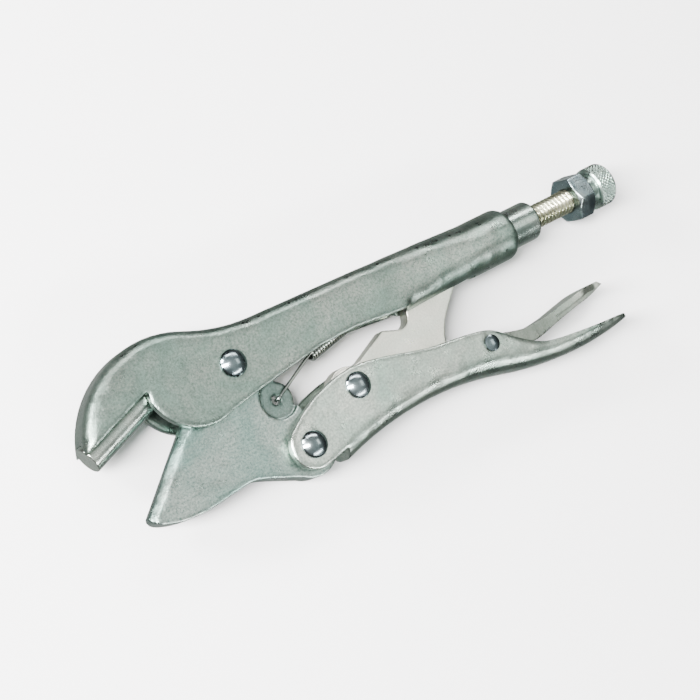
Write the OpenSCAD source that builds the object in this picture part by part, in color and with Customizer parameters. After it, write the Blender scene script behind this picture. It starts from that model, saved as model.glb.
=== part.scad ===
// Locking pliers of the pinch-off kind, lying on one side.
// Millimetres. Origin: the jaw pivot's axis where it meets the bench.
// +X runs along the screw axis to the knob, +Y to the back of the fixed handle, +Z up.

/* [Handles] */
// Outside width of both pressed handles
channel_w = 11.8; // [10.6:0.1:14.2]
// Sheet thickness of both handles
wall = 2.6; // [2:0.1:3]
// Outside bend radius of the fixed handle's edges
fixed_bend_r = 3.2; // [2.8:0.1:4]
// Outside bend radius of the lower handle's edges
lower_bend_r = 4.2; // [3.2:0.1:5]
// Distance from the jaw pivot to the tube's rear end
tube_end_x = 86.4; // [82:0.2:106]
// Outside radius of the rolled tube
tube_r = 6.7; // [6.2:0.1:6.75]
// Wall of the rolled tube
tube_wall = 2.2; // [1.8:0.1:2.4]
// Length of the lower handle from its rear pivot to its tip
lower_reach = 98.5; // [90:0.1:118.5]

/* [Jaws] */
// Thickness of the forged lower jaw
jaw_t = 6.0; // [4.8:0.1:6.2]
// Length of the mouth, from the jaw pivot to the nose of the bar
mouth_l = 38; // [34:0.5:42]
// Slope of the bar from the screw axis
bar_slope = 19.5; // [17:0.5:22]
// Angle between the two mouth edges at rest
gape = 21.5; // [16:0.5:25]
// Distance of each biting line from the jaw pivot
bite_rise = 5.2; // [4.6:0.1:6]
// Width of the flat ridge along the lower jaw's mouth
ridge_w = 2.2; // [1.4:0.1:3]

/* [Screw] */
// Crest diameter of the adjusting screw
screw_d = 6.3; // [5.2:0.05:6.4]
// Pitch of the screw thread
pitch = 1.27; // [1:0.01:1.5]
// Visible length of the threaded bush
bush_l = 8.4; // [7:0.1:10]
// Outside diameter of the threaded bush
bush_d = 10.2; // [9.6:0.1:11]
// Bare thread between the bush and the lock nut
bare_thread = 13.6; // [11:0.1:17]
// Lock nut, across flats
nut_af = 11.1; // [10:0.1:11.4]
// Lock nut thickness
nut_t = 5.5; // [4.6:0.1:6.6]
// Knurled knob diameter
knob_d = 11.4; // [9.6:0.1:13]
// Knurled knob length, without its neck
knob_l = 5.6; // [4.7:0.1:6.8]

/* [Linkage] */
// Toggle link thickness
link_t = 4.0; // [3.2:0.1:4.4]
// Release lever width
lever_w = 6.0; // [5:0.1:6.2]
// Release lever sheet thickness
lever_wall = 1.5; // [1.2:0.1:1.8]
// Shank diameter of the three large rivets
rivet_d = 4.8; // [4:0.1:5.6]
// Head diameter of the three large rivets
rivet_head_d = 6.3; // [5.8:0.1:7.5]
// Shank diameter of the release lever's rivet
small_rivet_d = 3.0; // [2.5:0.1:3.4]
// Spring wire diameter
wire_d = 0.8; // [0.65:0.05:0.95]
// Spring coil outside diameter
coil_d = 4.8; // [4:0.1:5.4]

/* [Hidden] */
$fn = 96;
eps = 0.01;
bend_steps = 4;
running = 0.06;
far_head_h = 0.9;
mid_z = channel_w / 2 + far_head_h;
inner_w = channel_w - 2 * wall;
bar_d = inner_w;

// Pivots in the side view, measured from the jaw pivot
handle_pivot = [8.6, -24.5];
link_pivot = [25.6, -17.4];
release_pivot = [63.9, -23.7];
toggle_tip = [64.2, -1.5];
spring_eye = [7.5, -11.8];
anchor_eye = [45.8, -0.6];
screw_y = -1;

// Fixed handle, side view: a round head, a long fillet and a straight back
head_c = [-16.5, -10.4];
head_r = 24.2;
back_fillet_r = 45;
back_slope = -1.78;
back_start = [24, 7.5];
cheek_c = [-9.5, 2.1];
cheek_r = 12.3;
tube_start_x = 48.4;
tube_full_x = 73;

function on_circle(c, r, a) = [c[0] + r * cos(a), c[1] + r * sin(a)];
function arc(c, r, a0, a1, n = 12) = [for (i = [0:n]) on_circle(c, r, a0 + (a1 - a0) * i / n)];
function rest(p) = [for (i = [1:len(p) - 1]) p[i]];
function back_y(x) = back_start[1] + (x - back_start[0]) * tan(back_slope);
// Centre of the fillet that touches the head circle and the straight back
function fillet_gap(x) =
    norm([x, back_y(x) + back_fillet_r / cos(back_slope)] - head_c) - head_r - back_fillet_r;
function fillet_x(lo, hi, n) =
    n == 0 ? (lo + hi) / 2
    : fillet_gap((lo + hi) / 2) > 0 ? fillet_x(lo, (lo + hi) / 2, n - 1)
    : fillet_x((lo + hi) / 2, hi, n - 1);
fillet_cx = fillet_x(0, 40, 40);
fillet_c = [fillet_cx, back_y(fillet_cx) + back_fillet_r / cos(back_slope)];
head_turn = atan2(fillet_c[1] - head_c[1], fillet_c[0] - head_c[0]);
// Height of the walls' mouth edge above the jaw pivot, square to the bar
wall_rise = bite_rise + bar_d * 0.7;
// Angle where a circle round the head centre meets the walls' mouth edge
function nose_turn(r) =
    90 + bar_slope + acos((wall_rise - head_c * [-sin(bar_slope), cos(bar_slope)]) / r);

// A smooth curve through a few points
function spline_at(a, b, c, d, t) =
    0.5 * (2 * b + (c - a) * t + (2 * a - 5 * b + 4 * c - d) * t * t
    + (3 * b - a - 3 * c + d) * t * t * t);
function spline(p, n = 6) = concat(
    [for (i = [0:len(p) - 2], k = [0:n - 1])
        spline_at(p[max(i - 1, 0)], p[i], p[i + 1], p[min(i + 2, len(p) - 1)], k / n)],
    [p[len(p) - 1]]);

// Biting lines: both lie bite_rise from the jaw pivot
jaw_slope = bar_slope + gape;
function along(slope, rise, s) = [
    -rise * sin(slope) - s * cos(slope),
    rise * cos(slope) - s * sin(slope)
];

// Lower handle, side view: the web follows two arcs that touch
crest = [41, -28.4];
web_r = 95;
valley_x = 93;
web_a_c = [crest[0], crest[1] - web_r];
web_b_c = [valley_x, web_a_c[1] + sqrt(4 * web_r * web_r - pow(valley_x - crest[0], 2))];
web_turn = asin((valley_x - crest[0]) / (2 * web_r));
web_start_x = 16.2;
lower_tip_x = handle_pivot[0] + lower_reach;
web_start_y = web_a_c[1] + sqrt(web_r * web_r - pow(crest[0] - web_start_x, 2));
sweep_start = asin((crest[0] - web_start_x + 3) / web_r);
sweep_end = asin((lower_tip_x + 3 - valley_x) / web_r);

// Screw stack along X
bush_end_x = tube_end_x + bush_l;
nut_x = bush_end_x + bare_thread;
neck_l = 2.5;
knob_x = nut_x + nut_t + neck_l;
screw_tip_x = toggle_tip[0] + 4.2;
tip_r = 2.4;
bore_r = tube_r - tube_wall;

module plate(thickness, z = mid_z) {
    translate([0, 0, z - thickness / 2]) linear_extrude(thickness) children();
}

module bore(at, r, length = 40) {
    translate([at[0], at[1], mid_z - length / 2]) cylinder(h = length, r = r);
}

module along_x(x, length, r, y = screw_y) {
    translate([x, y, mid_z]) rotate([0, 90, 0]) cylinder(h = length, r = r);
}

// Side outline of the fixed handle, clockwise from the nose, its back edge set in by d
function fixed_outline(d) = concat(
    arc(head_c, head_r - d, nose_turn(head_r - d), head_turn, 18),
    rest(arc(fillet_c, back_fillet_r + d, 180 + head_turn, 270 + back_slope, 8)),
    [[tube_start_x + 0.2, back_y(tube_start_x) - d], [tube_start_x + 0.2, -6.4]],
    [[tube_start_x - 2, -6.7], [33, -5.3], [22, -5.4], [4, -7.9]],
    arc(cheek_c, cheek_r, -68, -170, 12),
    [along(bar_slope, wall_rise, mouth_l * 0.5)]);

// How far the outline is set in at step k of an edge's bend. With over, the first ring stands
// that much outside the block's width on the same slope, for a plate to cut it flat.
function set_in(bend, k, over = 0) = bend * (1 - sin(90 * k / bend_steps))
    + (k == 0 ? over * sin(90 / bend_steps) / (1 - cos(90 / bend_steps)) : 0);

// Height of ring j in a block whose edges are rounded on both sides
function ring_z(j, last, w, bend, over) =
    j == 0 ? -w / 2 - over
    : j == last ? w / 2 + over
    : j > last / 2 ? w / 2 - bend * (1 - cos(90 * (last - j) / bend_steps))
    : -w / 2 + bend * (1 - cos(90 * j / bend_steps));

// Solid built ring by ring. outlines goes from the side's outline to the middle's, all clockwise.
module rounded_block(outlines, w, bend, over = 0) {
    m = len(outlines[0]);
    last = 2 * bend_steps + 1;
    translate([0, 0, mid_z]) polyhedron(
        points = [for (j = [0:last], p = outlines[min(j, last - j)])
            [p[0], p[1], ring_z(j, last, w, bend, over)]],
        faces = concat(
            [[for (i = [m - 1:-1:0]) i]],
            [[for (i = [0:m - 1]) last * m + i]],
            [for (j = [0:last - 1], i = [0:m - 1])
                [j * m + i, j * m + (i + 1) % m, (j + 1) * m + (i + 1) % m, (j + 1) * m + i]]));
}

module tube_transition() {
    hull() {
        for (side = [-1, 1]) {
            translate([0, 0, mid_z + side * (channel_w / 2 - fixed_bend_r + 0.06)])
                along_x_at(tube_start_x, back_y(tube_start_x) - fixed_bend_r + 0.06, fixed_bend_r);
            translate([0, 0, mid_z + side * (channel_w / 2 - 4.34)])
                along_x_at(tube_start_x, screw_y - tube_r + 4.4, 4.4);
        }
        translate([0, 0, mid_z]) along_x_at(tube_full_x, screw_y, tube_r);
    }
}

module along_x_at(x, y, r) {
    translate([x, y, 0]) rotate([0, 90, 0]) cylinder(h = 0.4, r = r, $fn = 48);
}

module tube_shoulder() {
    translate([tube_full_x, screw_y, mid_z]) rotate([0, 90, 0]) rotate_extrude() {
        square([tube_r, tube_end_x - tube_full_x - tube_wall]);
        square([tube_r - tube_wall, tube_end_x - tube_full_x]);
        translate([tube_r - tube_wall, tube_end_x - tube_full_x - tube_wall]) circle(tube_wall);
    }
}

module fixed_handle() {
    color("silver") difference() {
        union() {
            difference() {
                rounded_block([for (k = [0:bend_steps]) fixed_outline(set_in(fixed_bend_r, k))],
                    channel_w, fixed_bend_r);
                plate(inner_w) polygon(concat(
                    arc(head_c, head_r - wall, nose_turn(head_r - wall) + 9, head_turn, 18),
                    rest(arc(fillet_c, back_fillet_r + wall, 180 + head_turn, 270 + back_slope, 8)),
                    [[tube_start_x + 7, back_y(tube_start_x + 7) - wall], [tube_start_x + 7, -20],
                        [-46, -20]]));
            }
            difference() {
                union() {
                    tube_transition();
                    tube_shoulder();
                }
                along_x(tube_start_x - 1, tube_end_x, bore_r);
                translate([tube_start_x - 1, screw_y - 12, mid_z - link_t / 2 - 0.5])
                    cube([24, 12, link_t + 1]);
            }
            anchor_tab();
        }
        bore([0, 0], rivet_d / 2);
        bore(anchor_eye, 1.1, 4);
        bar_solid(0, 8);
    }
}

// Lanced tab inside the channel that holds the spring's rear hook
module anchor_tab() {
    plate(1.6) translate([anchor_eye[0], 0]) hull() {
        translate([0, anchor_eye[1]]) circle(2.4);
        translate([-2, back_y(anchor_eye[0]) - wall]) square([4, 1]);
    }
}

module bar_solid(back, front) {
    start = along(bar_slope, bite_rise + bar_d / 2, mouth_l * 0.45 - back);
    translate([start[0], start[1], mid_z]) rotate([0, 0, 180 + bar_slope]) rotate([0, 90, 0])
        cylinder(h = mouth_l * 0.55 + back + front, r = bar_d / 2);
}

module pinch_bar() {
    color("gainsboro") bar_solid(0, 0);
}

module threaded_bush() {
    color("silver") translate([0, screw_y, mid_z]) rotate([0, 90, 0]) difference() {
        union() {
            translate([0, 0, tube_end_x - 9]) cylinder(h = 9 + eps, r = bore_r);
            translate([0, 0, tube_end_x]) cylinder(h = bush_l - 0.8, r = bush_d / 2);
            translate([0, 0, bush_end_x - 0.8])
                cylinder(h = 0.8, r1 = bush_d / 2, r2 = bush_d / 2 - 0.8);
        }
        translate([0, 0, tube_end_x - 10]) cylinder(h = bush_l + 12, r = screw_d / 2 + running);
    }
}

module jaw_2d() {
    tail_r = 7.2;
    tip = along(jaw_slope, bite_rise, mouth_l + 1.2);
    polygon(concat(
        [along(jaw_slope, bite_rise, 0), tip],
        spline([tip + [0.2, -0.8], [-30.8, -24.3], [-26, -25.8], [-19.8, -26.2], [-12, -25.6],
            [-7.6, -25.4], [-3.6, -26.6], [4, -30.1]]),
        [handle_pivot, handle_pivot + [7, 1.6], [11.2, -15.6], [10.8, -10], [6.4, -3], [6.2, 1.8]]));
    translate(handle_pivot) circle(tail_r);
    translate(spring_eye) circle(4.3);
    circle(6.5);
}

// Sloping cut along one side of the lower jaw's mouth, leaving the ridge in the middle
module mouth_bevel(side) {
    start = along(jaw_slope, bite_rise, 0);
    side_w = (jaw_t - ridge_w) / 2;
    depth = 1.8;
    translate([start[0], start[1], mid_z]) rotate([0, 0, jaw_slope])
        translate([-mouth_l - 6, 0, 0]) rotate([90, 0, 90])
            linear_extrude(mouth_l - 2) polygon([
                [depth, side * (ridge_w / 2 - side_w)],
                [depth, side * jaw_t],
                [-2 * depth, side * jaw_t],
                [-2 * depth, side * (ridge_w / 2 + 2 * side_w)]
            ]);
}

module lower_jaw() {
    eye_tab_t = 2.4;
    color("silver") difference() {
        plate(jaw_t) jaw_2d();
        for (side = [-1, 1]) mouth_bevel(side);
        for (side = [-1, 1])
            translate([spring_eye[0], spring_eye[1], mid_z + side * (eye_tab_t / 2 + 3) - 3])
                cylinder(h = 6, r = 4.7);
        bore([0, 0], rivet_d / 2 + running);
        bore(handle_pivot, rivet_d / 2 + running);
        bore(spring_eye, 1.1);
    }
}

// Top edge of the lower handle's walls
lower_top = [
    [9.2, -17.4], [16, -14.7], [25.3, -13], [34.2, -14.1], [47.2, -17.4], [60, -19.3],
    [66, -21.1], [71.6, -25.5], [78.8, -29.7], [91.2, -31.8], [103, -33]
];
lug_r = 5.7;

// Web line of the lower handle from its tip to the lug, set in by d
function web_line(d) = concat(
    arc(web_b_c, web_r - d, 270 + sweep_end, 270 - web_turn, 12),
    rest(arc(web_a_c, web_r + d, 90 - web_turn, 90 + sweep_start, 14)));

// Block the lower handle is cut from; its end points keep every face between two rings flat
function lower_outline(d) = concat(
    [on_circle(web_b_c, web_r - 22, 270 + sweep_end)],
    web_line(d),
    [on_circle(web_a_c, web_r - 4, 90 + sweep_start), [0, -38], [0, -5]]);

// Side outline of the lower handle's walls, open below where the web bounds it
module lower_region() {
    polygon(concat(
        arc(handle_pivot, lug_r, 280, 127, 22),
        spline(lower_top),
        [[lower_tip_x + 1, -33.4], [lower_tip_x + 1, -60], [web_start_x, -60],
            [web_start_x, web_start_y + wall + 0.1]]));
}

module lower_cavity() {
    polygon(concat(
        web_line(wall),
        [[12.5, -33], [-5, -33], [-5, 5], [lower_tip_x + 4, 5], [lower_tip_x + 4, -20]]));
}

module lower_handle() {
    color("silver") difference() {
        intersection() {
            difference() {
                rounded_block([for (k = [0:bend_steps]) lower_outline(set_in(lower_bend_r, k, 0.2))],
                    channel_w, lower_bend_r, 0.2);
                plate(inner_w) lower_cavity();
            }
            plate(channel_w) lower_region();
            handle_plan();
        }
        bore(handle_pivot, rivet_d / 2);
        bore(link_pivot, rivet_d / 2);
        bore(release_pivot, small_rivet_d / 2);
    }
}

// Plan outline that rounds the lower handle's tip
module handle_plan() {
    tip_round = channel_w / 2;
    translate([0, 0, mid_z]) rotate([90, 0, 0]) linear_extrude(80) polygon(concat(
        [[-10, -channel_w], [lower_tip_x - tip_round, -channel_w]],
        arc([lower_tip_x - tip_round, 0], tip_round + 0.03, -88, 88, 20),
        [[lower_tip_x - tip_round, channel_w], [-10, channel_w]]));
}

module link_2d() {
    polygon(concat(
        [[22.5, -13.9], [31.2, -12.7], [40.3, -8.8]],
        arc([45.4, -7.4], 3.2, 258, 350, 8),
        spline([[49.4, -6.4], [51.5, -3.6], [56, -0.7], [61, 0.7], toggle_tip + [0, tip_r]]),
        [toggle_tip],
        spline([toggle_tip + [tip_r, -0.4], [65.2, -6.4], [61.4, -9.9], [57.6, -13.6],
            [55.4, -17], [54.2, -20.6]]),
        [[52, -21], [38, -21.4], [26.5, -22.6]]));
    translate(toggle_tip) circle(tip_r);
    translate(link_pivot) circle(5.3);
}

module toggle_link() {
    color("lightgray") difference() {
        union() {
            plate(link_t) link_2d();
            plate(inner_w - 0.3) translate(link_pivot) circle(4.2);
        }
        bore(link_pivot, rivet_d / 2 + running);
    }
}

lever_top = [
    [51.5, -23.2], [57, -21.9], [64, -21.2], [70.7, -23.1], [77, -24.5], [83.5, -24.5],
    [91, -23.6], [97.5, -22.8], [103, -22.8]
];
lever_low = [
    [104.2, -24], [99, -25.3], [93.6, -26], [86.5, -27.1], [78.4, -28.4], [70, -27.8],
    [64, -26.8], [57, -25.6], [51.5, -24.9]
];

module lever_2d() {
    polygon(concat(spline(lever_top), spline(lever_low)));
}

module lever_pad() {
    intersection() {
        plate(lever_w + 2.6) difference() {
            lever_2d();
            translate([0, -lever_wall]) lever_2d();
            translate([40, -40]) square([46, 40]);
        }
        translate([0, 0, mid_z]) rotate([90, 0, 0]) linear_extrude(60) hull() {
            translate([86, 0]) circle(lever_w / 2);
            translate([96, 0]) circle(lever_w / 2 + 1.3);
            translate([104.2 - lever_w / 2, 0]) circle(lever_w / 2);
        }
    }
}

module release_lever() {
    color("darkgray") difference() {
        union() {
            plate(lever_w) lever_2d();
            lever_pad();
        }
        plate(lever_w - 2 * lever_wall) intersection() {
            union() {
                translate([0, -lever_wall]) lever_2d();
                translate([0, -lever_wall - 2]) lever_2d();
            }
            translate([40, -40]) square([59, 40]);
        }
        bore(release_pivot, small_rivet_d / 2 + running);
    }
}

// Rod with a ring groove at each thread pitch
module adjusting_screw() {
    crest_r = screw_d / 2;
    root_r = crest_r - 0.6 * pitch;
    thread_l = knob_x - neck_l - screw_tip_x;
    turns = floor((thread_l - 3) / pitch);
    color("lightgray") translate([screw_tip_x, screw_y, mid_z]) rotate([0, 90, 0])
        rotate_extrude() polygon(concat(
            [[0, 0], [root_r - 0.8, 0], [root_r, 0.8], [root_r, 1.4]],
            [for (i = [0:turns - 1], k = [0:3])
                [k == 1 || k == 2 ? crest_r : root_r,
                    1.4 + (i + [0, 0.44, 0.56, 1][k] * 0.999) * pitch]],
            [[root_r, thread_l + neck_l + knob_l - 1.5], [0, thread_l + neck_l + knob_l - 1.5]]));
}

module screw_knob() {
    rod_r = screw_d / 2 - 0.6 * pitch;
    edge = 1.1;
    rear_x = knob_x + knob_l;
    color("silver") translate([0, screw_y, mid_z]) rotate([0, 90, 0]) difference() {
        union() {
            translate([0, 0, knob_x - neck_l + 0.1]) cylinder(h = neck_l, r = knob_d / 2 - 1.3);
            translate([0, 0, knob_x]) cylinder(h = 0.7, r1 = knob_d / 2 - 0.7, r2 = knob_d / 2);
            translate([0, 0, knob_x + 0.7]) cylinder(h = knob_l - 0.7 - edge, r = knob_d / 2);
            translate([0, 0, rear_x - edge]) rotate_extrude() intersection() {
                union() {
                    square([knob_d / 2 - edge, edge]);
                    translate([knob_d / 2 - edge, 0]) circle(edge);
                }
                square([knob_d, edge]);
            }
        }
        translate([0, 0, knob_x - neck_l]) cylinder(h = neck_l + knob_l - 1.4, r = rod_r + running);
    }
}

module lock_nut() {
    corner_r = nut_af / sqrt(3);
    color("silver") translate([nut_x, screw_y, mid_z]) rotate([0, 90, 0]) difference() {
        intersection() {
            rotate([0, 0, 12]) cylinder(h = nut_t, r = corner_r, $fn = 6);
            rotate_extrude() polygon([
                [0, 0], [nut_af / 2 - 0.2, 0], [corner_r + 0.4, 0.9], [corner_r + 0.4, nut_t - 0.9],
                [nut_af / 2 - 0.2, nut_t], [0, nut_t]
            ]);
        }
        translate([0, 0, -1]) cylinder(h = nut_t + 2, r = screw_d / 2 + running);
    }
}

// Close-wound coil with a bent wire at each end that drops through its eye
coil_start = [20.5, -5.6];
coil_end = [39.5, -1.9];

module wire_between(a, b) {
    translate(a) rotate([0, 0, atan2(b[1] - a[1], b[0] - a[0])])
        rotate([0, 90 - atan2(b[2] - a[2], norm([b[0] - a[0], b[1] - a[1]])), 0])
            cylinder(h = norm(b - a) + wire_d / 2, r = 0.44 * wire_d);
}

module tension_spring() {
    coil_l = norm(coil_end - coil_start);
    step = wire_d * 0.97;
    coils = floor((coil_l - wire_d) / step);
    mean_r = (coil_d - wire_d) / 2;
    aim = atan2(coil_end[1] - coil_start[1], coil_end[0] - coil_start[0]);
    first = on_circle(coil_start, wire_d / 2, aim);
    last = on_circle(coil_start, wire_d / 2 + coils * step, aim);
    near_z = mid_z + mean_r;
    color("dimgray") {
        translate([coil_start[0], coil_start[1], mid_z]) rotate([0, 0, aim]) rotate([0, 90, 0])
            rotate_extrude() for (i = [0:coils])
                translate([mean_r, wire_d / 2 + i * step]) circle(wire_d / 2, $fn = 24);
        for (run = [[first, spring_eye], [last, anchor_eye]]) {
            wire_between([run[0][0], run[0][1], near_z], [run[1][0], run[1][1], near_z]);
            translate([run[1][0], run[1][1], near_z - 4]) cylinder(h = 4.1, r = 0.4 * wire_d);
        }
    }
}

// Rivet with a domed head on the upper side and a flat head on the lower side
module rivet(at, shank_d, head_d, dome_h, flat_d) {
    dome_r = (head_d * head_d / 4 + dome_h * dome_h) / (2 * dome_h);
    top_z = mid_z + channel_w / 2;
    translate([at[0], at[1], 0]) {
        cylinder(h = far_head_h, r = flat_d / 2);
        cylinder(h = top_z, r = shank_d / 2);
        translate([0, 0, top_z]) rotate_extrude() intersection() {
            square([head_d / 2, dome_h]);
            translate([0, dome_h - dome_r]) circle(dome_r);
        }
    }
}

module jaw_pivot_rivet() {
    color("gray") rivet([0, 0], rivet_d, rivet_head_d, 1.7, rivet_head_d + 0.8);
}

module handle_pivot_rivet() {
    color("gray") rivet(handle_pivot, rivet_d, rivet_head_d, 1.7, rivet_head_d + 0.8);
}

module link_rivet() {
    color("gray") rivet(link_pivot, rivet_d, rivet_head_d, 1.7, rivet_head_d + 0.8);
}

module release_rivet() {
    color("gray") rivet(release_pivot, small_rivet_d, 4.1, 0.6, 5);
}

fixed_handle();
pinch_bar();
threaded_bush();
lower_jaw();
lower_handle();
toggle_link();
release_lever();
adjusting_screw();
screw_knob();
lock_nut();
tension_spring();
jaw_pivot_rivet();
handle_pivot_rivet();
link_rivet();
release_rivet();
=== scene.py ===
# %% [markdown]
# # Pinch-off locking pliers
# A pair of locking pliers lies on its side on a bench. The steel parts were designed and
# packed beforehand, with their joints. This lesson gives them their looks: worn edges,
# a cut thread, a knurl, a wound spring and plated steel.
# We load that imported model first, because every new piece takes its place from it.

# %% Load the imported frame
import math

import bmesh
import bpy
from mathutils import Matrix, Vector


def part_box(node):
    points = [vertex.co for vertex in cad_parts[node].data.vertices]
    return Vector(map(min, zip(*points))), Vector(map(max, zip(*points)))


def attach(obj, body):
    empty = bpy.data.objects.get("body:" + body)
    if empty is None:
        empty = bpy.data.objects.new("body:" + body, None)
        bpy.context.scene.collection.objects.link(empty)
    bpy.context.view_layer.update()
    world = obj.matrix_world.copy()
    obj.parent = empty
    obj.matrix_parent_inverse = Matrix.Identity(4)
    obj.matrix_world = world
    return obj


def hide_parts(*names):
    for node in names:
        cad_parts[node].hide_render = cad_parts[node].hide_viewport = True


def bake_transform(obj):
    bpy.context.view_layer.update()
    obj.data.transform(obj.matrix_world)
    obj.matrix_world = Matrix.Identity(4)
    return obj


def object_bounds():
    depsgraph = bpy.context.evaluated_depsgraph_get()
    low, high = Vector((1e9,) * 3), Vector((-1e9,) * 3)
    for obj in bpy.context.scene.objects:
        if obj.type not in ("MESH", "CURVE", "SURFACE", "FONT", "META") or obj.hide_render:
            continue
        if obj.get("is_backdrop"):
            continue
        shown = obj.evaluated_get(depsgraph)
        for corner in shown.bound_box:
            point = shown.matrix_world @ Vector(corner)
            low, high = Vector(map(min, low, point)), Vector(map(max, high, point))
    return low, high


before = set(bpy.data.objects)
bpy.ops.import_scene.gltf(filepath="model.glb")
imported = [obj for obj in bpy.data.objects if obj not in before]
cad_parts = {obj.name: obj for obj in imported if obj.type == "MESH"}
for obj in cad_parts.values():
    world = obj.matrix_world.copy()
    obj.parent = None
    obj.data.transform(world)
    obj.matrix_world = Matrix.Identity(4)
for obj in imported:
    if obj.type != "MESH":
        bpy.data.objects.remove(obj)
mm = 0.001
cad_low, cad_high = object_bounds()
print("packed model, mm:", [round(v / mm, 1) for v in cad_high - cad_low])

# %% [markdown]
# ## Tumbled edges
# Pressed handles and forged jaws are tumbled with grit before plating, so no edge is sharp.
# A bevel modifier would need clean edge loops, which a machine-made mesh doesn't have.
# A voxel remesh makes even small faces instead, and a smooth modifier then wears every edge
# by the same amount, as the tumbler does. A second smooth works on the height alone: it lets
# the flats sag towards their outline, as pressed sheet does, and leaves the outline in place.
# The copy is new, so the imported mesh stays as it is.

# %% Helpers that take in a new mesh and settle its modifiers
def new_piece(name, mesh, body, *stands_for):
    piece = bpy.data.objects.new(name, mesh)
    bpy.context.scene.collection.objects.link(piece)
    mesh.shade_smooth()
    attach(piece, body)
    if stands_for:
        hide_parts(*stands_for)
    return piece


def settle(piece):
    """Turns what the modifiers show into the piece's own mesh."""
    ready = piece.evaluated_get(bpy.context.evaluated_depsgraph_get())
    piece.data = bpy.data.meshes.new_from_object(ready)
    piece.modifiers.clear()
    piece.data.shade_smooth()


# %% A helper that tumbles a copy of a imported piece
def tumbled(node, body, voxel, passes, pillow):
    """passes wear the edges; pillow counts the passes that work on the height alone."""
    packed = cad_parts[node].data.copy()
    welded = bmesh.new()
    welded.from_mesh(packed)
    bmesh.ops.remove_doubles(welded, verts=welded.verts, dist=1e-6)
    welded.to_mesh(packed)
    welded.free()
    packed.materials.clear()
    piece = new_piece(node + "_worn", packed, body, node)
    grid = piece.modifiers.new("grid", "REMESH")
    grid.mode = "VOXEL"
    grid.voxel_size = voxel
    wear = piece.modifiers.new("wear", "SMOOTH")
    wear.factor = 0.5
    wear.iterations = passes
    sag = piece.modifiers.new("sag", "SMOOTH")
    sag.factor = 0.5
    sag.iterations = pillow
    sag.use_x = sag.use_y = False
    settle(piece)
    print(node, "has", len(piece.data.polygons), "faces after tumbling")
    return piece


# %% [markdown]
# ## The handles, jaw, link and lever
# Both handles are channels pressed from thick sheet, the jaw is forged, and the link and
# lever are blanked from plate. The handles get the most wear and the thin link and lever
# get less, because a rounded edge can't be wider than the sheet it belongs to. The nut is
# worn in the same way.

# %% Tumble the pressed and forged pieces
fixed_handle = tumbled("fixed_handle", "frame_body", 0.26 * mm, 7, 70)
lower_handle = tumbled("lower_handle", "handle_body", 0.26 * mm, 7, 50)
lower_jaw = tumbled("lower_jaw", "jaw_body", 0.22 * mm, 4, 60)
toggle_link = tumbled("toggle_link", "link_body", 0.22 * mm, 3, 14)
release_lever = tumbled("release_lever", "release_body", 0.16 * mm, 3, 8)
lock_nut = tumbled("lock_nut", "nut_body", 0.13 * mm, 6, 0)

# %% [markdown]
# The handle's flat sides flow into the rolled tube with no line between them, so the part
# where they meet gets far more smoothing. A vertex group keeps it to the upper half: the
# rolled lip below starts with a crisp fold. The rolled tube and the bent back were stretched
# over a former, so they get some more smoothing too.

# %% A helper that smooths only part of a piece
def melt(piece, weight_at, passes):
    """weight_at takes a point in metres and says how much it is smoothed, from 0 to 1."""
    group = piece.vertex_groups.new(name="melt")
    for v in piece.data.vertices:
        weight = weight_at(v.co)
        if weight > 0:
            group.add([v.index], weight, "REPLACE")
    soft = piece.modifiers.new("melt", "SMOOTH")
    soft.factor = 0.5
    soft.iterations = passes
    soft.vertex_group = "melt"
    settle(piece)


# %% Melt the handle into its tube
tube_start, tube_stop, lip_y = 50 * mm, 83 * mm, -6 * mm
back_stop, back_y = 52 * mm, 4 * mm


def near_tube_start(co):
    along = 1 - abs(co.x - tube_start) / (9 * mm)
    above = (co.y - lip_y) / (3 * mm)
    return max(0.0, min(1.0, 2 * along, above))


def on_tube(co):
    return max(0.0, min(1.0, (co.x - tube_start) / (4 * mm), (tube_stop - co.x) / (2 * mm)))


def on_back(co):
    return max(0.0, min(1.0, (co.y - back_y) / (2 * mm), (back_stop - co.x) / (4 * mm)))


melt(fixed_handle, near_tube_start, 220)
melt(fixed_handle, on_tube, 50)
melt(fixed_handle, on_back, 16)
print("handle melted over 18 mm, tube and back smoothed")

# %% [markdown]
# ## Round pieces
# The bush, the bar, the rivets, the screw and the knob are all round. Blender's screw
# modifier can spin an outline, but then the radius can't change on the way round, which a
# thread and a knurl need. So each piece is a stack of rings of points with quads between
# them, and one helper skins any such stack.

# %% A helper that skins rings of points
def skinned(name, rings):
    skin = bmesh.new()
    loops = [[skin.verts.new(point) for point in ring] for ring in rings]
    for near, far in zip(loops, loops[1:]):
        for k in range(len(near)):
            n = (k + 1) % len(near)
            skin.faces.new((near[k], near[n], far[n], far[k]))
    skin.faces.new(loops[0])
    skin.faces.new(loops[-1])
    bmesh.ops.recalc_face_normals(skin, faces=skin.faces)
    mesh = bpy.data.meshes.new(name)
    skin.to_mesh(mesh)
    skin.free()
    return mesh


# %% [markdown]
# A profile is a list of pairs: the distance along the axis and the radius. One helper
# rounds its corners, which catch the light on a real turned piece. Another divides its long
# runs, so that the shading stays even. The last one spins it.

# %% Helpers for a turned profile
def rounded(points, radius, steps=5):
    """Rounds each inner corner of a profile with an arc-like curve of that reach."""
    out = [points[0]]
    for before, at, after in zip(points, points[1:], points[2:]):
        a, b, c = (Vector((*p, 0)) for p in (before, at, after))
        reach = min(radius, (a - b).length / 2.2, (c - b).length / 2.2)
        start, end = b + (a - b).normalized() * reach, b + (c - b).normalized() * reach
        for k in range(steps + 1):
            t = k / steps
            p = start * (1 - t) ** 2 + b * 2 * t * (1 - t) + end * t * t
            out.append((p.x, p.y))
    return out + [points[-1]]


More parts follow.
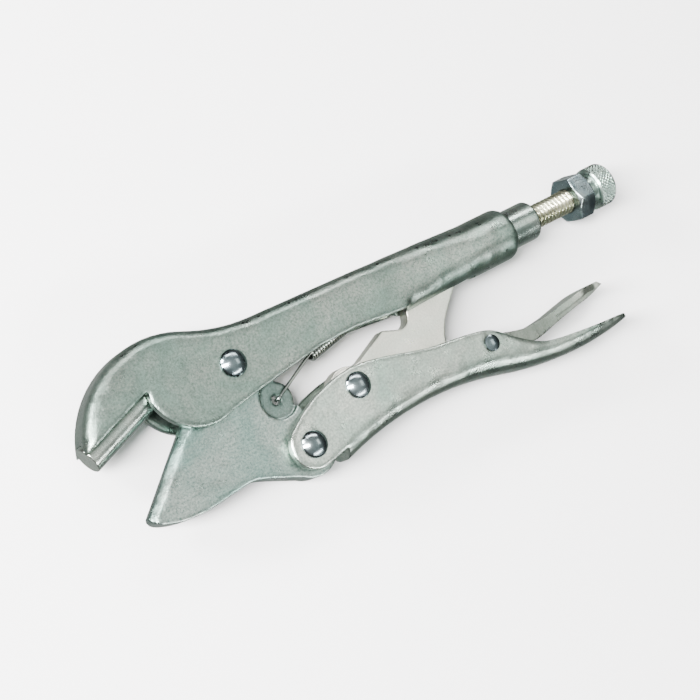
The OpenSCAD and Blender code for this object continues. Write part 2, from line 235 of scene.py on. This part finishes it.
def divided(profile, step_along, step_out):
    even = []
    for (d0, r0), (d1, r1) in zip(profile, profile[1:]):
        cuts = max(1, int(math.hypot((d1 - d0) / step_along, (r1 - r0) / step_out)))
        even += [(d0 + (d1 - d0) * c / cuts, r0 + (r1 - r0) * c / cuts) for c in range(cuts)]
    return even + [profile[-1]]


def turned(name, body, profile, base, along, node, steps=96):
    along = Vector(along).normalized()
    lean = Vector((0.3, 0.2, 1)) if abs(along.z) < 0.9 else Vector((1, 0, 0))
    side = along.cross(lean).normalized()
    other = along.cross(side)
    turns = [2 * math.pi * k / steps for k in range(steps)]
    rings = []
    for distance, radius in divided(profile, 0.5 * mm, 0.5 * mm):
        centre = Vector(base) + along * distance
        rings.append([centre + radius * (side * math.cos(a) + other * math.sin(a)) for a in turns])
    mesh = skinned(name, rings)
    piece = new_piece(name, mesh, body, node)
    mesh.set_sharp_from_angle(angle=math.radians(40))
    return piece


# %% [markdown]
# ## Rivets
# Each pivot is a rivet with a polished dome on the upper side and a flat formed head below.
# The dome is part of a sphere with a short straight rim, which draws the dark ring at its
# foot.

# %% Spin the four rivets
tip_r = 0.01 * mm  # stands for the axis, where a ring can't close to a point


def rivet(node, body):
    low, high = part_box(node)
    base = Vector(((low.x + high.x) / 2, (low.y + high.y) / 2, low.z))
    flat_r = (high.x - low.x) / 2
    tall = high.z - low.z
    small = flat_r < 3 * mm
    dome_h = 0.6 * mm if small else 1.7 * mm
    dome_r = 2.05 * mm if small else 3.15 * mm
    shank_r = 1.5 * mm if small else 2.4 * mm
    foot = tall - dome_h
    rim_h = 0.16 * dome_h
    ball = (dome_r ** 2 + (dome_h - rim_h) ** 2) / (2 * (dome_h - rim_h))
    start, head_h = 0.0002 * mm, 0.9 * mm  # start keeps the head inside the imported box
    flat = rounded([(start, tip_r), (start, flat_r), (head_h, flat_r), (head_h, shank_r)],
                   0.25 * mm)
    rim = [(foot + 0.01 * mm, shank_r), (foot + 0.02 * mm, dome_r - 0.05 * mm),
           (foot + 0.08 * mm, dome_r), (foot + rim_h, dome_r)]
    slopes = [math.asin(dome_r / ball) * (1 - k / 16) for k in range(17)]
    dome = [(tall - ball + ball * math.cos(a), max(ball * math.sin(a), tip_r)) for a in slopes]
    piece = turned(node + "_domed", body, flat + rim + dome, base, (0, 0, 1), node)
    print(node, "dome stands", round(dome_h / mm, 1), "mm")
    return piece


rivets = [
    rivet("jaw_pivot_rivet", "frame_body"),
    rivet("handle_pivot_rivet", "handle_body"),
    rivet("link_rivet", "handle_body"),
    rivet("release_rivet", "handle_body"),
]

# %% [markdown]
# ## Pinch bar
# The upper jaw is a round bar welded into the handle's open nose. Its end is cut square and
# lightly rounded. Its slope is the slope of the bite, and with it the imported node's box gives
# both ends.

# %% Spin the bar
low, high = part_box("pinch_bar")
bar_r = (high.z - low.z) / 2
slope = math.radians(19.5)  # of the bite, down towards the nose
bar_dir = Vector((-math.cos(slope), -math.sin(slope), 0))
end_face = Vector((0, 0, (low.z + high.z) / 2))
end_face.x = low.x + bar_r * math.sin(slope)
end_face.y = low.y + bar_r * math.cos(slope)
bar_l = (high.x - low.x - 2 * bar_r * math.sin(slope)) / math.cos(slope)
profile = rounded([(0, tip_r), (0, bar_r), (bar_l, bar_r), (bar_l, tip_r)], 0.35 * mm)
root_face = end_face - bar_dir * bar_l
pinch_bar = turned("pinch_bar_round", "frame_body", profile, root_face, bar_dir, "pinch_bar")
print("bar is", round(2 * bar_r / mm, 1), "mm thick and", round(bar_l / mm, 1), "mm long")

# %% [markdown]
# ## Threaded bush
# A short sleeve is pressed into the rear of the tube, and the screw runs through it. Its
# outer corner is rounded, and its face is dished a little round the thread.

# %% Spin the bush
low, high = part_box("threaded_bush")
axis_y, axis_z = (low.y + high.y) / 2, (low.z + high.z) / 2
bush_r = (high.y - low.y) / 2
bush_back = high.x
tube_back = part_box("fixed_handle")[1].x
bore_r, front_r, mouth_r, dish = 3.3 * mm, 4.45 * mm, 3.9 * mm, 0.5 * mm
step, length = tube_back - low.x, bush_back - low.x
inner = [(0, bore_r), (0, front_r), (step, front_r)]
outer = [(step, bush_r), (length, bush_r), (length, mouth_r), (length - dish, bore_r)]
profile = inner + rounded(outer, 0.9 * mm, 7)
threaded_bush = turned("threaded_bush_turned", "frame_body", profile,
                       (low.x, axis_y, axis_z), (1, 0, 0), "threaded_bush")
print("bush stands", round((bush_back - tube_back) / mm, 1), "mm out of the tube")

# %% [markdown]
# ## The cut thread
# A thread is one ridge wound as a helix. It could be a bump texture, but its outline shows
# against the light, so it is real: a grid whose radius rises and falls with the distance
# along the axis plus the turn about it. One full turn moves the ridge on by one pitch.

# %% Wind the thread
def on_axis(x, radius, turn):
    """A point beside the screw's axis; turn goes from 0 to 1 round it."""
    a = 2 * math.pi * turn
    return x, axis_y + radius * math.cos(a), axis_z + radius * math.sin(a)


def wave(phase):
    """0 at the root, 1 at the crest, with narrow flats on both."""
    t = abs((phase % 1.0) * 2 - 1)
    return min(max((t - 0.12) / 0.74, 0.0), 1.0)


low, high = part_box("adjusting_screw")
pitch = 1.27 * mm
crest_r = (high.z - low.z) / 2
root_r = crest_r - 0.6 * pitch
around, per_pitch, lead = 48, 10, 1.2 * mm
thread_start, thread_end = low.x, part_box("lock_nut")[1].x + 0.6 * mm
count = int((thread_end - thread_start) / pitch * per_pitch)
rings = []
for i in range(count + 1):
    x = thread_start + (thread_end - thread_start) * i / count
    rise = (crest_r - root_r) * min((x - thread_start) / lead, (thread_end - x) / lead, 1.0)
    radii = [root_r + rise * wave((x - thread_start) / pitch - k / around) for k in range(around)]
    rings.append([on_axis(x, r, k / around) for k, r in enumerate(radii)])
rings.append([on_axis(high.x, root_r, k / around) for k in range(around)])
adjusting_screw = new_piece("adjusting_screw_cut", skinned("adjusting_screw_cut", rings),
                            "screw_body", "adjusting_screw")
print("thread has", round((thread_end - thread_start) / pitch), "turns")

# %% [markdown]
# ## The knurled knob
# Knurling rolls two sets of slanted grooves into the rim, which leaves rows of small
# pyramids. The same grid idea works here: at each point the radius drops where either set
# of grooves passes. The neck and the rounded rear edge stay smooth.

# %% Draw the knob's outline
low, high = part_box("screw_knob")
knob_r = (high.z - low.z) / 2
neck_r = knob_r - 1.3 * mm
band_start = high.x - 5.6 * mm
curl = 1.1 * mm
outline = rounded([(low.x, root_r + 0.1 * mm), (low.x, neck_r), (band_start, neck_r),
                   (band_start, knob_r - 0.75 * mm), (band_start + 0.7 * mm, knob_r),
                   (high.x - curl, knob_r)], 0.22 * mm, 4)
outline += [(high.x - curl + curl * math.sin(a), knob_r - curl + curl * math.cos(a))
            for a in (math.pi / 2 * k / 8 for k in range(1, 9))]
outline += [(high.x, (knob_r - curl) * (1 - k / 4)) for k in range(1, 4)] + [(high.x, tip_r)]
print("knob is", round(2 * knob_r / mm, 1), "mm thick")

# %% [markdown]
# A groove that climbs one tooth for each tooth's width along the axis slants at forty-five
# degrees. The second set climbs the other way. Where both ridges meet, a pyramid stays.

# %% Roll the knurl
teeth, groove = 34, 0.34 * mm
around = teeth * 10
tooth_w = 2 * math.pi * knob_r / teeth


def valley(phase):
    """0 in the middle of a groove, 1 on the ridge between two grooves."""
    return abs((phase % 1) * 2 - 1)


def knurled(x, radius, turn):
    fade = min(max((x - band_start - 0.5 * mm) / (0.3 * mm), 0), 1)
    fade *= min(max((high.x - 0.75 * mm - x) / (0.4 * mm), 0), 1)
    across = (x - band_start) / tooth_w
    first = valley(turn * teeth + across)
    second = valley(turn * teeth - across)
    drop = groove * fade * (1 - min(first, second) * 0.5 - 0.5 * min(1, first + second - 0.2))
    return radius - max(drop, 0)


rings = [[on_axis(x, knurled(x, r, k / around), k / around) for k in range(around)]
         for x, r in divided(outline, 0.07 * mm, math.inf)]
screw_knob = new_piece("screw_knob_knurled", skinned("screw_knob_knurled", rings), "knob_body",
                       "screw_knob")
print("knurl has", teeth, "teeth round")

# %% [markdown]
# ## The tension spring
# One wire is wound into a close coil, and both ends are drawn out and bent into hooks. A
# curve with a round bevel is the natural tool: we give it the wire's path. The front hook
# sits in the jaw and the rear one in the handle.

# %% Lay out the spring's path
wire_r = 0.4 * mm
coil_r = 2.0 * mm
lead_on = 2.06 * wire_r
up = Vector((0, 0, 1))
on_middle = up * axis_z
coil_a = Vector((20.5, -5.6, 0)) * mm + on_middle
coil_b = Vector((39.5, -1.9, 0)) * mm + on_middle
jaw_eye = Vector((7.5, -11.8, 0)) * mm + on_middle
tab_eye = Vector((45.8, -0.6, 0)) * mm + on_middle
run = (coil_b - coil_a).normalized()
side = run.cross(up)
turns = int((coil_b - coil_a).length / lead_on)
coil = []
for k in range(turns * 20 + 1):
    a = 2 * math.pi * k / 20
    centre = coil_a + run * (wire_r + k / 20 * lead_on)
    coil.append(centre + coil_r * (up * math.cos(a) + side * math.sin(a)))


def hook(start, eye):
    """Points from the coil's end to the eye and down through it."""
    above = eye + up * coil_r
    out = [start.lerp(above, t) for t in (0.25, 0.5, 0.75)]
    near = (start - above).normalized()
    out += [above + near * 0.5 * mm, above + near * 0.12 * mm - up * 0.12 * mm]
    out += [above - up * d * mm for d in (0.5, 1.2, 2.0, 3.0)]
    return out


path = list(reversed(hook(coil[0], jaw_eye))) + coil + hook(coil[-1], tab_eye)
print("spring has", turns, "coils")

# %% [markdown]
# The curve is turned into a mesh. On the real tool the rear end stays still and the front end
# follows the jaw.

# %% Draw the wire along the path
curve = bpy.data.curves.new("tension_spring_wire", "CURVE")
curve.dimensions = "3D"
curve.bevel_depth = wire_r
curve.bevel_resolution = 3
curve.use_fill_caps = True
line = curve.splines.new("POLY")
line.points.add(len(path) - 1)
for point, place in zip(line.points, path):
    point.co = (*place, 1)
wire = bpy.data.objects.new("wire", curve)
bpy.context.scene.collection.objects.link(wire)
ready = wire.evaluated_get(bpy.context.evaluated_depsgraph_get())
mesh = bpy.data.meshes.new_from_object(ready)
bpy.data.objects.remove(wire)
mesh.shade_smooth()
tension_spring = bpy.data.objects.new("tension_spring_wound", mesh)
bpy.context.scene.collection.objects.link(tension_spring)
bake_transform(tension_spring)
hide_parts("tension_spring")
print("wire has", len(mesh.polygons), "faces")

# %% [markdown]
# ## Plated steel
# The plating is satin over tumbled steel: fine dimples, broad soft hollows left by the
# press, and colour that drifts from a cool grey-green to a warmer grey. Edges are polished
# by handling. An image of steel would repeat and show its edges, so the finish is worked out
# from noise. That takes many small nodes, and each kind gets a helper of its own.

# %% Helpers that add one node each
def reckoned(tree, operation, *values):
    node = tree.nodes.new("ShaderNodeMath")
    node.operation = operation
    for socket, value in zip(node.inputs, values):
        if isinstance(value, (int, float)):
            socket.default_value = value
        else:
            tree.links.new(value, socket)
    return node.outputs["Value"]


def noise(tree, place, size_mm, detail, roughness=0.55, warp=0.0):
    node = tree.nodes.new("ShaderNodeTexNoise")
    node.inputs["Scale"].default_value = 1000 / size_mm
    node.inputs["Detail"].default_value = detail
    node.inputs["Roughness"].default_value = roughness
    node.inputs["Distortion"].default_value = warp
    tree.links.new(place.outputs["Object"], node.inputs["Vector"])
    return node.outputs["Fac"]


def ranged(tree, value, low_in, high_in, low_out, high_out):
    node = tree.nodes.new("ShaderNodeMapRange")
    for key, number in (("From Min", low_in), ("From Max", high_in),
                        ("To Min", low_out), ("To Max", high_out)):
        node.inputs[key].default_value = number
    tree.links.new(value, node.inputs["Value"])
    return node.outputs["Result"]


def mixed(tree, share, first, second):
    node = tree.nodes.new("ShaderNodeMix")
    node.data_type = "RGBA"
    tree.links.new(share, node.inputs["Factor"])
    for key, value in (("A", first), ("B", second)):
        socket = [s for s in node.inputs if s.name == key and s.type == "RGBA"][0]
        if isinstance(value, tuple):
            socket.default_value = (*value, 1)
        else:
            tree.links.new(value, socket)
    return [s for s in node.outputs if s.type == "RGBA"][0]


def bumped(tree, height, depth_mm, under=None):
    node = tree.nodes.new("ShaderNodeBump")
    node.inputs["Strength"].default_value = 1.0
    node.inputs["Distance"].default_value = depth_mm * mm
    tree.links.new(height, node.inputs["Height"])
    if under is not None:
        tree.links.new(under, node.inputs["Normal"])
    return node.outputs["Normal"]


def ramped(tree, value, levels):
    """levels holds (position, colour) pairs in rising order."""
    node = tree.nodes.new("ShaderNodeValToRGB")
    stops = node.color_ramp.elements
    while len(stops) < len(levels):
        stops.new(0.5)
    for stop, (position, colour) in zip(stops, levels):
        stop.position = position
        stop.color = (*colour, 1)
    tree.links.new(value, node.inputs["Fac"])
    return node.outputs["Color"]


def parted(tree, vector):
    node = tree.nodes.new("ShaderNodeSeparateXYZ")
    tree.links.new(vector, node.inputs["Vector"])
    return node.outputs


# %% [markdown]
# Two parts of the finish follow the shape, and both paint light into the colour. A ramp along
# the tool paints reflection and shade, setting how light each stretch is, and noise keeps its
# borders ragged. And painted shade darkens the colour with the distance below the flat and
# where a face looks sideways, as the surface turns away from the light.

# %% Helpers that paint shade and reflection by place
def darker(colour, factor):
    return tuple(c * factor for c in colour)


def painted_reflection_along(tree, place, colour, cool, shades):
    """shades holds (x in mm, brightness) pairs."""
    # painted reflection and shade: the ramp sets how light each stretch along the tool is
    first, last = shades[0][0], shades[-1][0]
    along = parted(tree, place.outputs["Object"])["X"]
    ragged = reckoned(tree, "MULTIPLY_ADD", noise(tree, place, 14, 2), 9 * mm, along)
    share = ranged(tree, ragged, first * mm, last * mm, 0, 1)
    levels = [((x - first) / (last - first), (grey, grey, grey)) for x, grey in shades]
    return mixed(tree, ramped(tree, share, levels), darker(cool, 0.3), colour)


def painted_shade_below_flat(tree, place, colour, cool, half_mm):
    from_middle = reckoned(tree, "SUBTRACT", parted(tree, place.outputs["Object"])["Z"], axis_z)
    height = reckoned(tree, "ABSOLUTE", from_middle)
    # painted shade where the surface sags away from the flat and turns from the light
    painted_sag_shade = ranged(tree, height, (half_mm - 1.3) * mm, (half_mm - 0.05) * mm, 0.62, 0)
    return mixed(tree, painted_sag_shade, colour, darker(cool, 0.28))


def painted_shade_on_flanks(tree, place, colour, cool):
    # painted shade on faces that look sideways, away from the light
    painted_flank_shade = ranged(tree, parted(tree, place.outputs["Normal"])["Z"], 0.2, 0.75, 0.25, 0.0)
    return mixed(tree, painted_flank_shade, colour, darker(cool, 0.2))


# %% [markdown]
# The finish itself comes in three layers. The colour drifts and is flecked with dark
# specks. The roughness varies slowly and drops on worn edges. The relief is a broad hollow
# pattern with fine dimples on top of it.

# %% A helper that builds a plated finish
def half_thick(piece):
    return max(abs(v.co.z - axis_z) for v in piece.data.vertices) / mm


def plated(name, cool, warm, rough, grain_mm, dimple, hollow, fleck, shades=(), half_mm=0):
    """grain_mm is the size of the dimples, dimple and hollow are depths in mm, and fleck is
    how strong the dark specks are."""
    finish = bpy.data.materials.new(name)
    finish.use_nodes = True
    tree = finish.node_tree
    shader = tree.nodes["Principled BSDF"]
    shader.inputs["Metallic"].default_value = 1.0
    place = tree.nodes.new("ShaderNodeTexCoord")
    shape = tree.nodes.new("ShaderNodeNewGeometry")
    edge = ranged(tree, shape.outputs["Pointiness"], 0.52, 0.57, 0, 1)

    drift = ranged(tree, noise(tree, place, 16, 3, 0.6, 0.4), 0.36, 0.64, 0, 1)
    speck = ranged(tree, noise(tree, place, grain_mm * 1.3, 3, 0.75), 0.32, 0.68, 0.0, fleck)
    colour = mixed(tree, drift, cool, warm)
    colour = mixed(tree, speck, colour, darker(cool, 0.45))
    colour = mixed(tree, ranged(tree, edge, 0, 1, 0, 0.2), colour, warm)
    # painted reflection and shade: the ramp along the tool, the shade below the flat and on the
    # flanks
    if shades:
        colour = painted_reflection_along(tree, place, colour, cool, shades)
    if half_mm:
        colour = painted_shade_below_flat(tree, place, colour, cool, half_mm)
    colour = painted_shade_on_flanks(tree, place, colour, cool)
    tree.links.new(colour, shader.inputs["Base Color"])

    spread = ranged(tree, noise(tree, place, 5, 4, 0.6), 0.3, 0.7, rough - 0.07, rough + 0.09)
    polish = reckoned(tree, "MULTIPLY_ADD", edge, -0.1, spread)
    tree.links.new(polish, shader.inputs["Roughness"])

    normal = bumped(tree, noise(tree, place, 9, 2, 0.5, 0.3), hollow)
    normal = bumped(tree, noise(tree, place, grain_mm, 3, 0.6), dimple, normal)
    tree.links.new(normal, shader.inputs["Normal"])
    return finish


# %% [markdown]
# ## Ten finishes from one recipe
# Each finish sets its own amounts in the one recipe, so the pieces look related without being
# copies. The pressed and forged pieces are grainy, each with its own tint. The lower handle
# carries a painted reflection, brightest at its front, the link is painted brightest of all as
# a painted reflection, the turned ones are smoother, and the lever is darker with painted shade
# that leaves only its tip light. The thread is warmer because less plating stays on its crests,
# and the rivets are polished dark steel.

# %% Make the finishes
grey_green, warm_grey = (0.34, 0.48, 0.41), (0.60, 0.63, 0.57)
# the ramp paints a mild reflection along the handle, and half_mm paints shade where the flats sag
tumbled_plate = plated("tumbled_plate", grey_green, warm_grey, 0.32, 0.42, 0.07, 0.6, 0.95,
                       [(-40, 0.95), (20, 1.0), (50, 0.92), (60, 0.95), (88, 1.0)],
                       half_thick(fixed_handle))
# painted reflection: lighter colours and a ramp of painted shade along the lower handle
painted_reflection_handle_plate = plated("painted_reflection_handle_plate", (0.50, 0.66, 0.57), (0.80, 0.83, 0.75), 0.3, 0.42, 0.06,
                       0.7, 0.8, [(0, 1.0), (28, 1.0), (46, 0.7), (62, 0.65), (78, 0.6),
                                  (92, 0.8), (108, 0.9)], half_thick(lower_handle))
# half_mm paints shade where the jaw's faces sag below the flat
jaw_plate = plated("jaw_plate", (0.30, 0.46, 0.41), (0.53, 0.59, 0.54), 0.32, 0.42, 0.07, 0.9, 0.9,
                   half_mm=half_thick(lower_jaw))
# painted reflection: the link is the same plating, painted lighter
painted_reflection_link_plate = plated("painted_reflection_link_plate", (0.82, 0.90, 0.78), (0.96, 0.95, 0.84), 0.33, 0.42, 0.08,
                      0.3, 0.3)
smooth_plate = plated("smooth_plate", (0.34, 0.45, 0.40), (0.58, 0.62, 0.56), 0.24, 0.4, 0.02,
                      0.08, 0.4)
nut_plate = plated("nut_plate", (0.20, 0.28, 0.30), (0.38, 0.44, 0.43), 0.24, 0.4, 0.006, 0.08, 0.3)
# painted shade: the ramp darkens the lever and leaves only its tip light
dull_plate = plated("dull_plate", (0.30, 0.38, 0.32), (0.60, 0.62, 0.55), 0.32, 0.42, 0.06, 0.6,
                    0.5, shades=[(50, 0.5), (84, 0.4), (96, 1.0), (105, 1.0)])
thread_plate = plated("thread_plate", (0.42, 0.44, 0.31), (0.62, 0.60, 0.45), 0.27, 0.3, 0.005,
                      0.0, 0.2)
spring_wire = plated("spring_wire", (0.20, 0.24, 0.23), (0.40, 0.42, 0.39), 0.3, 0.3, 0.003,
                     0.0, 0.2)
polished_rivet = plated("polished_rivet", (0.17, 0.24, 0.26), (0.30, 0.35, 0.36), 0.22, 0.4,
                        0.008, 0.05, 0.3)

# %% [markdown]
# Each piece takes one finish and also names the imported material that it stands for. Some
# packed materials are shown by more than one finish.

# %% Give every piece its finish
finishes = [
    (fixed_handle, tumbled_plate, "tumbled_plate"),
    (lower_handle, painted_reflection_handle_plate, "tumbled_plate"),
    (lower_jaw, jaw_plate, "tumbled_plate"),
    (toggle_link, painted_reflection_link_plate, "tumbled_plate"),
    (release_lever, dull_plate, "dull_plate"),
    (lock_nut, nut_plate, "smooth_plate"),
    (pinch_bar, smooth_plate, "smooth_plate"),
    (threaded_bush, smooth_plate, "smooth_plate"),
    (screw_knob, smooth_plate, "smooth_plate"),
    (adjusting_screw, thread_plate, "screw_plate"),
    (tension_spring, spring_wire, "spring_wire"),
] + [(r, polished_rivet, "polished_rivet") for r in rivets]
for piece, finish, slot_name in finishes:
    piece.data.materials.clear()
    piece.data.materials.append(finish)
print(len(finishes), "pieces have a finish")

# %% [markdown]
# ## The studio
# Polished metal shows what is round it, so the light matters as much as the finish. A pale
# floor and a pale sky keep it light. Large soft lamps draw broad highlights, and the sky
# dims towards the horizon so that turned faces have something dark to reflect. The floor is
# kept out of the reflections, as black cards do in a studio: the outlines stay dark.

# %% Lay the floor
reach, gap, pale = 3.0, 0.1 * mm, 0.93
floor_mesh = bpy.data.meshes.new("floor")
corners = [(-reach, -reach, 0), (reach, -reach, 0), (reach, reach, 0), (-reach, reach, 0)]
floor_mesh.from_pydata(corners, [], [(0, 1, 2, 3)])
floor = bpy.data.objects.new("floor", floor_mesh)
floor.location.z = cad_low.z - gap
bpy.context.scene.collection.objects.link(floor)
paint = bpy.data.materials.new("floor_paint")
paint.use_nodes = True
coat = paint.node_tree.nodes["Principled BSDF"]
coat.inputs["Base Color"].default_value = (pale, pale, pale, 1)
coat.inputs["Roughness"].default_value = 0.9
floor_mesh.materials.append(paint)
floor.visible_glossy = False
floor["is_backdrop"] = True
print("floor is", 2 * reach, "m wide")

# %% [markdown]
# An even sky would make the plating look like paint. The height of each direction, with
# some cloud added to it, picks a grey from a ramp: pale overhead, nearly black just above
# the horizon, and pale again far below it, as paper under the tool would be.

# %% Shade the sky
world = bpy.data.worlds.new("studio_sky")
bpy.context.scene.world = world
world.use_nodes = True
sky = world.node_tree
ways = sky.nodes.new("ShaderNodeTexCoord").outputs["Generated"]
cloud = sky.nodes.new("ShaderNodeTexNoise")
cloud.inputs["Scale"].default_value = 2.6
cloud.inputs["Detail"].default_value = 1.0
sky.links.new(ways, cloud.inputs["Vector"])
height = reckoned(sky, "MULTIPLY_ADD", parted(sky, ways)["Z"], 0.5, 0.38)
uneven = reckoned(sky, "MULTIPLY_ADD", cloud.outputs["Fac"], 0.24, height)
levels = ((0.0, 0.75), (0.22, 0.4), (0.42, 0.1), (0.54, 0.035), (0.66, 0.07), (0.8, 0.25),
          (0.93, 0.62), (1.0, 0.85))
fall = ramped(sky, uneven, [(at, (0.95 * grey, grey, 0.97 * grey)) for at, grey in levels])
sky.links.new(fall, sky.nodes["Background"].inputs["Color"])
sky.nodes["Background"].inputs["Strength"].default_value = 1.1
print("sky has", len(levels), "levels")


# %% [markdown]
# A soft lamp in a studio is a lit cloth in a frame. An area lamp of the same size is its
# equal: the longer it is, the longer the streak it draws on a round piece.

# %% A helper that hangs a soft lamp
def soft_lamp(name, place, size, watts, tint=(1, 1, 1)):
    light = bpy.data.lights.new(name, "AREA")
    light.shape = "RECTANGLE"
    light.size, light.size_y = size
    light.energy = watts
    light.color = tint
    lamp = bpy.data.objects.new(name, light)
    lamp.location = place
    aim = Vector((0.02, -0.01, 0)) - lamp.location
    lamp.rotation_euler = aim.to_track_quat("-Z", "Y").to_euler()
    bpy.context.scene.collection.objects.link(lamp)
    print(name, round(lamp.location.length, 2), "m away")


# %% [markdown]
# The weak rear lamp is what the flats behind the jaw mirror to the camera. The near lamp
# draws the streak on the nose, the jaw lamp lights the jaw's bevel, and the back and front
# lamps run along the tube.

# %% Hang the lamps
soft_lamp("rear_softbox", (0.50, 0.0, 0.76), (0.45, 0.26), 1.15, (1.0, 0.99, 0.96))
soft_lamp("back_softbox", (0.25, 0.62, 0.42), (0.9, 0.12), 6, (1.0, 0.97, 0.97))
soft_lamp("near_softbox", (-0.65, 0.15, 0.55), (0.22, 0.7), 58, (1.0, 0.98, 0.98))
soft_lamp("jaw_softbox", (-0.58, 0.55, 0.3), (0.26, 0.12), 16)
soft_lamp("front_softbox", (0.15, -0.7, 0.40), (0.7, 0.1), 8)

# %% [markdown]
# ## The camera
# The view comes from the jaw end, tilted about thirty degrees from straight above, and the
# camera is rolled so that the tool climbs to the right. A long lens keeps the sides almost
# parallel. The camera's three axes are worked out from the tilt and the roll.

# %% Place the camera
tilt, roll = math.radians(29.5), math.radians(-27.45)
back = Vector((-math.sin(tilt), 0, math.cos(tilt)))
level = Vector((math.cos(tilt), 0, math.sin(tilt)))
right = level * math.cos(roll) + Vector((0, 1, 0)) * math.sin(roll)
lens = bpy.data.cameras.new("camera")
lens.lens = 82.3
lens.sensor_width = 36
lens.clip_start, lens.clip_end = 0.01, 20
camera = bpy.data.objects.new("camera", lens)
camera.matrix_world = Matrix((right, back.cross(right), back)).transposed().to_4x4()
camera.location = Vector((-154.1, -9.4, 334.3)) * mm
bpy.context.scene.collection.objects.link(camera)
bpy.context.scene.camera = camera
print("camera stands", round(camera.location.length, 3), "m from the jaw pivot")

# %% [markdown]
# ## Measure and finish
# The new box is printed, as the imported one was at the start.

# %% Measure and finish
low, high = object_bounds()
print("visual model, mm:", [round(v / mm, 1) for v in high - low])
